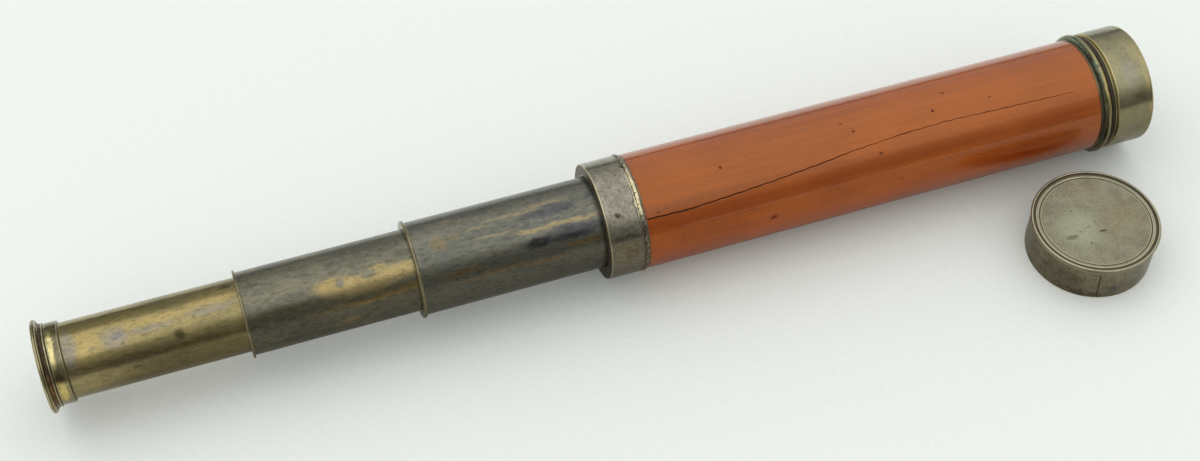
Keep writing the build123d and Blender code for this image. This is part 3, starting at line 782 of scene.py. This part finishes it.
def make_cell():
    """The plain cell with its rounded rim, the recess in front of the lenses, and the lens seat."""
    left, right, radius = box_mm("objective_cell")
    mount_end = box_mm("objective_mount")[1]
    spigot, bore, aperture, seat = 22.98, 21.1, 20.3, left + 1.5
    recess, recess_start = 24.6, right - 10.7
    outline = Outline(left, spigot).to(mount_end, spigot).to(mount_end, radius - 0.4)
    outline.to(mount_end + 0.35, radius).to(right - 1.2, radius)
    outline.arc(right - 0.1, radius - 0.8, 0.25, 5).to(right, radius - 1.0)
    outline.to(right, recess + 0.25).to(right - 0.25, recess).to(recess_start, recess)
    outline.to(recess_start, bore).to(seat, bore).to(seat, aperture).to(left, aperture)
    turned("cell", subdivided(outline.softened(0.15), 2.0), "barrel", ["objective_cell"],
           cell_brass, relief=dented(0.04, 12.0, 51),
           stain_and_painted_light=lambda x, angle, r: -0.6 if x > right - 0.15 else 0)


def make_eyepiece():
    """The flared eyecup: lip and fine line, cove, fine bead, and the plain band."""
    left, right, radius = box_mm("eyepiece_housing")
    band, bore, cove = 16.96, 15.2, 17.2
    tube_bore, step = box_mm("draw_1_tube")[2] + 0.02, left + 8.0
    outline = Outline(left, 18.6).arc(left + 1.1, radius - 0.1, 0.35).to(left + 1.25, radius - 0.4)
    outline.arc(left + 1.9, radius - 0.45, 0.12, 5).to(left + 2.05, radius - 0.75)
    outline.arc(left + 3.6, cove, -0.4).to(left + 3.7, cove + 0.15).arc(left + 4.5, cove, 0.28)
    outline.to(left + 4.6, band - 0.3).to(left + 4.8, band - 0.25).to(left + 4.9, band - 0.02)
    outline.arc(right - 0.6, band - 0.03, 0.03, 6).to(right - 0.5, band - 0.2).to(right - 0.35, 16.3)
    outline.to(right, 16.2).to(right, tube_bore).to(step, tube_bore).to(step, bore)
    outline.to(left + 3.0, bore).arc(left + 0.3, 17.6, -0.5)

    def grime(x, angle, r):
        if x > right - 1.0 or left + 4.55 < x < left + 4.85:
            return -0.6
        if left + 1.2 < x < left + 1.35 or left + 2.0 < x < left + 2.1:
            return -0.4
        if left + 2.1 < x < left + 4.6:
            return 0.5 * wobble(x, angle, 1.2, 62)
        return 0.3 * wobble(x, angle, 2.0, 63)

    turned("eyecup", subdivided(outline.softened(0.08), 0.8), "draw_1",
           ["eyepiece_housing"], eyepiece_brass, turns=320, relief=dented(0.03, 4.0, 61), stain_and_painted_light=grime)


def seam_angle(z):
    """The angle, in degrees, of the soldered seam down the cap's skirt."""
    return -110.0 - 0.12 * z


def make_skirt():
    """The cap's skirt, rolled from sheet: its seam shows as a line that fades out at the top."""
    radius, height = CAP_RADIUS, cap_high.z / MM
    bore = radius - CAP_WALL

    def cut(z, angle, r):
        """1 in the middle of the seam, down to 0 at its edges and at the top."""
        if r < radius - 0.3:
            return 0.0
        away = abs(arc_from(seam_angle, z, angle, radius))
        return min(1.0, (height - z) / 3) * max(0.0, 1 - away / 0.2)

    outline = Outline(0.0, radius).to(height, radius).to(height, bore).to(0.0, bore)
    turned("skirt", subdivided(outline.softened(0.2), 1.2), "objective_cap",
           ["cap_skirt"], skirt_brass,
           relief=lambda z, angle, r: 0.03 * wobble(z, angle, 9.0, 71) - 0.4 * cut(z, angle, r),
           stain_and_painted_light=lambda z, angle, r: -1.3 * cut(z, angle, r) ** 0.5, upright=(CAP_X, CAP_Y),
           offsets=columns_along(seam_angle, radius, (0.1, 0.2, 0.5, 1.2), 200))


def make_disc():
    """The cap's top: a double bead round the rim, a groove, a flat ring, a fine line and the disc."""
    low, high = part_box("cap_disc")
    rim, bottom, top = (high.x - low.x) / 2 / MM, low.z / MM, high.z / MM
    flat, bore, middle = top - 0.5, CAP_RADIUS - CAP_WALL, (bottom + top) / 2
    outline = Outline(bottom, bore).to(bottom, CAP_RADIUS - 0.1).to(bottom + 0.15, CAP_RADIUS - 0.05)
    outline.arc(middle - 0.12, rim - 0.2, 0.25, 6).to(middle - 0.05, rim - 0.5).to(middle + 0.05, rim - 0.5)
    outline.arc(top - 0.2, rim - 0.35, 0.4, 8).arc(top - 0.15, rim - 1.1, 0.12, 5)
    outline.to(flat - 0.35, rim - 1.3).to(flat - 0.35, rim - 2.1).to(flat + 0.05, rim - 2.3)
    outline.arc(flat + 0.02, rim - 3.6, 0.06, 4).to(flat - 0.25, rim - 3.75).to(flat - 0.25, rim - 4.0)
    outline.to(flat, rim - 4.15).to(flat - 0.02, 12.0).to(flat - 0.05, 0.0).to(flat - 1.1, 0.0)
    outline.to(flat - 1.1, bore)

    def grime(z, angle, r):
        if bottom <= z < bottom + 0.1:
            return -0.8
        return -0.45 if z < flat - 0.2 and r < rim - 1.2 and z > flat - 0.5 else 0

    turned("disc", subdivided(outline.softened(0.06), 1.0), "objective_cap",
           ["cap_disc"], disc_brass, turns=320, stain_and_painted_light=grime, upright=(CAP_X, CAP_Y))


make_draw(1, wall=0.73, finish=draw_1_brass)
make_draw(2, wall=0.75, finish=draw_2_brass)
make_draw(3, wall=0.80, finish=draw_3_brass)
make_flange(2, sleeve=0.77)
make_flange(3, sleeve=0.82)
make_ferrule()
make_wood()
make_mount()
make_cell()
make_eyepiece()
make_skirt()
make_disc()


# ---- CAD pieces that keep their shape ----

kept_finishes = {
    "optical_glass": glass, "steel_pins": dark_pins, "inner_brass": inner_brass,
    "blackened_brass": blackened, "bright_brass": eyepiece_brass, "ferrule_brass": ferrule_brass,
    "cell_brass": cell_brass, "verdigris_brass": mount_brass, "guide_brass": flange_brass,
    "mahogany": mahogany, "draw_1_brass": draw_1_brass, "draw_2_brass": draw_2_brass,
    "draw_3_brass": draw_3_brass, "cap_disc_brass": disc_brass, "cap_skirt_brass": skirt_brass}
for entry in frame["record"]["subparts"]:
    mesh = nodes[entry["node"]].data
    mesh.materials.clear()
    mesh.materials.append(kept_finishes[entry["material_slot"]])


# ---- Stage ----

def make_floor():
    """A pale sheet of paper, larger than the view."""
    half = 3.0
    corners = [(-half, -half, 0), (half, -half, 0), (half, half, 0), (-half, half, 0)]
    mesh = bpy.data.meshes.new("floor")
    mesh.from_pydata(corners, [], [(0, 1, 2, 3)])
    floor = bpy.data.objects.new("floor", mesh)
    bpy.context.scene.collection.objects.link(floor)
    f = Finish("floor_paper")
    fibres = f.noise(f.place, 500.0, 3, 0.6)
    f.surface(Base_Color=f.mix(f.span(fibres, 0.3, 0.7), paint(238, 243, 240), paint(242, 246, 243)),
              Roughness=0.85)
    mesh.materials.append(f.material)


def make_card(name, corners, finish):
    """A flat card that only reflections see: it shapes what the brass and the lacquer mirror."""
    mesh = bpy.data.meshes.new(name)
    mesh.from_pydata(corners, [], [(0, 1, 2, 3)])
    mesh.materials.append(finish)
    card = bpy.data.objects.new(name, mesh)
    bpy.context.scene.collection.objects.link(card)
    card.visible_camera = False
    card.visible_diffuse = False
    card.visible_transmission = False
    card.visible_shadow = False


def card_finish(name):
    """A dull card's finish to be coloured, and the x, y and z of the place on the card."""
    f = Finish(name)
    place = f.node("ShaderNodeSeparateXYZ")
    f.plug(place.inputs[0], f.place)
    f.surface(Roughness=1.0)
    return f, place.outputs


def upright_card(name, left, right, y, low, high, finish):
    """A card that stands along the telescope, at y."""
    make_card(name, [(left, y, low), (right, y, low), (right, y, high), (left, y, high)], finish)


def make_flags():
    """Grey cards on both sides, darker near the floor."""
    f, place = card_finish("flag_card")
    f.surface(Base_Color=f.mix(f.span(place["Z"], 0.2, 0.78), paint(138, 137, 132), paint(206, 204, 198)))
    upright_card("near_flag", -0.80, 0.16, NEAR_CARD_Y, 0.0, 0.80, f.material)
    f, place = card_finish("far_card")
    f.surface(Base_Color=f.mix(f.span(place["Z"], 0.2, 0.66), paint(170, 169, 162), paint(202, 200, 194)))
    upright_card("far_flag", -1.3, -0.15, 0.60, 0.12, 0.68, f.material)


def make_reflected_floor_shade():
    """Painted shade on the floor that only reflections see: a darker sheet from the near card to the
    telescope's middle, paler at both ends.
    """
    f, place = card_finish("reflected_floor_shade")
    right_end = f.span(place["X"], 0.10, 0.24, 0, 0.35)
    left_end = f.span(place["X"], -0.20, -0.235)
    ends = f.math("MAXIMUM", right_end, left_end)
    f.surface(Base_Color=f.mix(ends, paint(176, 174, 166), paint(236, 238, 232)))
    lift, near, far, half = 0.0004, NEAR_CARD_Y, AXIS_Y, 1.2
    make_card("reflected_floor_shade_card", [(-half, near, lift), (half, near, lift), (half, far, lift), (-half, far, lift)],
              f.material)


def grey(value):
    """A nearly neutral colour of the given linear brightness, which may be over 1."""
    return value, value, 0.98 * value, 1.0


def make_sky():
    """A soft pale sky. Reflections see it darker low down on both sides of the telescope."""
    world = bpy.data.worlds.new("sky")
    bpy.context.scene.world = world
    world.use_nodes = True
    world.cycles.sampling_method = "NONE"
    tree = world.node_tree
    tree.nodes.clear()
    place = tree.nodes.new("ShaderNodeTexCoord")
    split = tree.nodes.new("ShaderNodeSeparateXYZ")
    tree.links.new(place.outputs["Generated"], split.inputs[0])

    def ramp(stops):
        made = tree.nodes.new("ShaderNodeValToRGB")
        tree.links.new(split.outputs["Z"], made.inputs[0])
        elements = made.color_ramp.elements
        elements[0].position, elements[0].color = stops[0][0], grey(stops[0][1])
        elements[1].position, elements[1].color = stops[-1][0], grey(stops[-1][1])
        for position, value in stops[1:-1]:
            elements.new(position).color = grey(value)
        return made.outputs[0]

    def mix(factor, first, second):
        made = tree.nodes.new("ShaderNodeMix")
        made.data_type = "RGBA"
        tree.links.new(factor, made.inputs[0])
        for socket, value in ((made.inputs[6], first), (made.inputs[7], second)):
            if isinstance(value, bpy.types.NodeSocket):
                tree.links.new(value, socket)
            else:
                socket.default_value = value
        return made.outputs[2]

    side = tree.nodes.new("ShaderNodeMapRange")
    tree.links.new(split.outputs["Y"], side.inputs["Value"])
    side.inputs["From Min"].default_value = -0.1
    side.inputs["From Max"].default_value = 0.1
    near_side = ramp([(0.0, 0.27), (0.3, 0.30), (0.52, 0.62), (0.57, 1.0), (0.80, 1.25)])
    far_side = ramp([(0.0, 0.06), (0.11, 0.08), (0.14, 0.60), (0.35, 0.68), (0.60, 0.87), (0.85, 1.2)])
    reflected = mix(side.outputs[0], near_side, far_side)
    rays = tree.nodes.new("ShaderNodeLightPath")
    towards_far = 0.08
    diffuse = mix(side.outputs[0], grey(SKY_LIGHT - towards_far), grey(SKY_LIGHT + towards_far))
    colour = mix(rays.outputs["Is Glossy Ray"], diffuse, reflected)
    background = tree.nodes.new("ShaderNodeBackground")
    tree.links.new(colour, background.inputs[0])
    output = tree.nodes.new("ShaderNodeOutputWorld")
    tree.links.new(background.outputs[0], output.inputs[0])


def make_light(name, place, aim, size, power):
    """A square soft light, which reflections don't see."""
    data = bpy.data.lights.new(name, "AREA")
    data.shape = "SQUARE"
    data.size = size
    data.energy = power
    light = bpy.data.objects.new(name, data)
    light.location = place
    light.rotation_euler = (Vector(aim) - Vector(place)).to_track_quat("-Z", "Y").to_euler()
    light.visible_glossy = False
    bpy.context.scene.collection.objects.link(light)


make_floor()
make_flags()
make_reflected_floor_shade()
make_sky()
make_light("key", (-0.3, 0.6, 1.8), (0, 0, 0), 1.8, 3.0)


# ---- Camera ----

def make_camera():
    """Looks down along the telescope from beside draw 3, as the photograph was taken."""
    azimuth, elevation, roll = math.radians(18.776), math.radians(51.907), math.radians(0.124)
    data = bpy.data.cameras.new("camera")
    data.sensor_width = 36.0
    data.lens = 56.53
    camera = bpy.data.objects.new("camera", data)
    camera.location = (-0.16779, AXIS_Y - 0.4738, 0.65816)
    ahead = Vector((math.sin(azimuth) * math.cos(elevation), math.cos(azimuth) * math.cos(elevation),
                    -math.sin(elevation)))
    facing = ahead.to_track_quat("-Z", "Y").to_matrix()
    camera.rotation_euler = (facing @ Euler((0, 0, roll)).to_matrix()).to_euler()
    bpy.context.scene.collection.objects.link(camera)
    bpy.context.scene.camera = camera


make_camera()
bpy.context.scene.view_settings.view_transform = "Standard"
